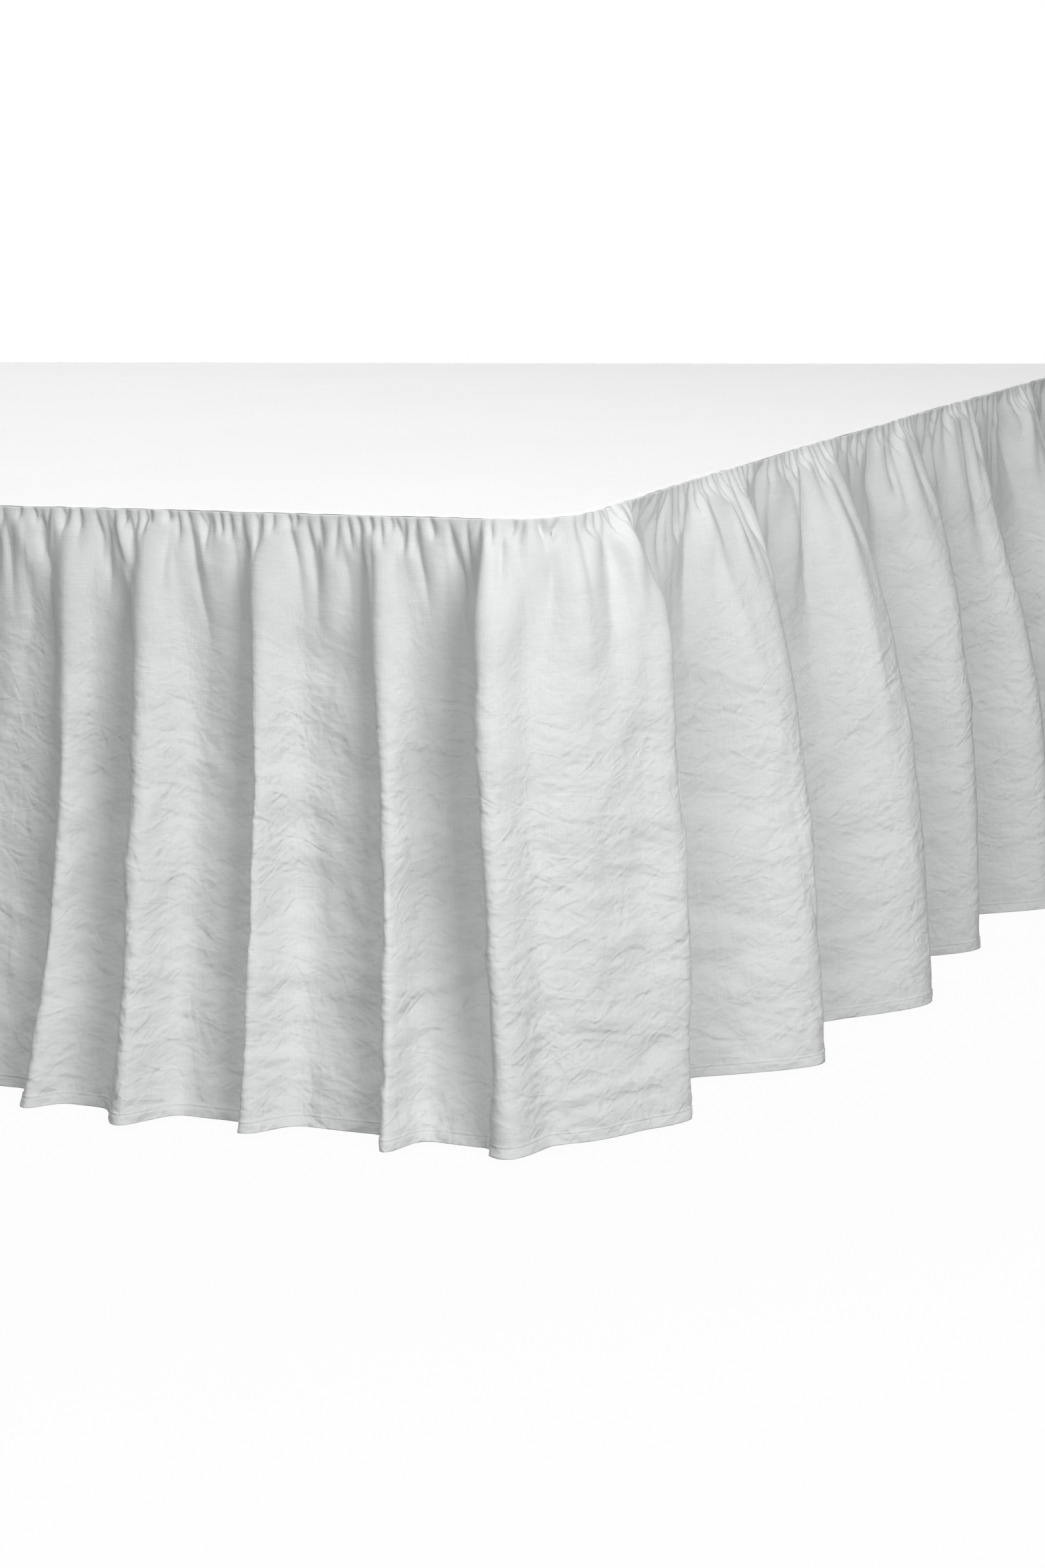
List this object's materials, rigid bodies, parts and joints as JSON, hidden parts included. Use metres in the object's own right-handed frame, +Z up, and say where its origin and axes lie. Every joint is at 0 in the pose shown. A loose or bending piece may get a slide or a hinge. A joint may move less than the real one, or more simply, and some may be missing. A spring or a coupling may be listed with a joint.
{
  "type": "gathered bed skirt on bed base",
  "caption": "Bed skirt: a flat white deck over a plain bed base, with a gathered washed linen ruffle that hangs in soft uneven folds to a narrow hem just off the floor",
  "frame": {"origin": "on the floor, under the middle of the part's bounding box", "axes": "+Z is up, +X points to the foot of the bed, which is the side with the ruffle across it, and the bed's length runs along X"},
  "size_m": [2.032, 1.564, 0.5223],
  "materials": {
    "washed_linen": "pale cool grey linen, plain weave with slubs, washed soft and crumpled",
    "white_cotton": "flat white cotton sheet, fine plain weave",
    "base_upholstery": "plain woven upholstery stretched over the base",
    "leg_wood": "turned wood, satin"
  },
  "bodies": {
    "root": {"bed_base": "base_upholstery", "leg_1": "leg_wood", "leg_2": "leg_wood", "leg_3": "leg_wood", "leg_4": "leg_wood", "deck": "white_cotton", "ruffle_near": "washed_linen", "ruffle_foot": "washed_linen", "ruffle_far": "washed_linen"}
  },
  "joints": []
}
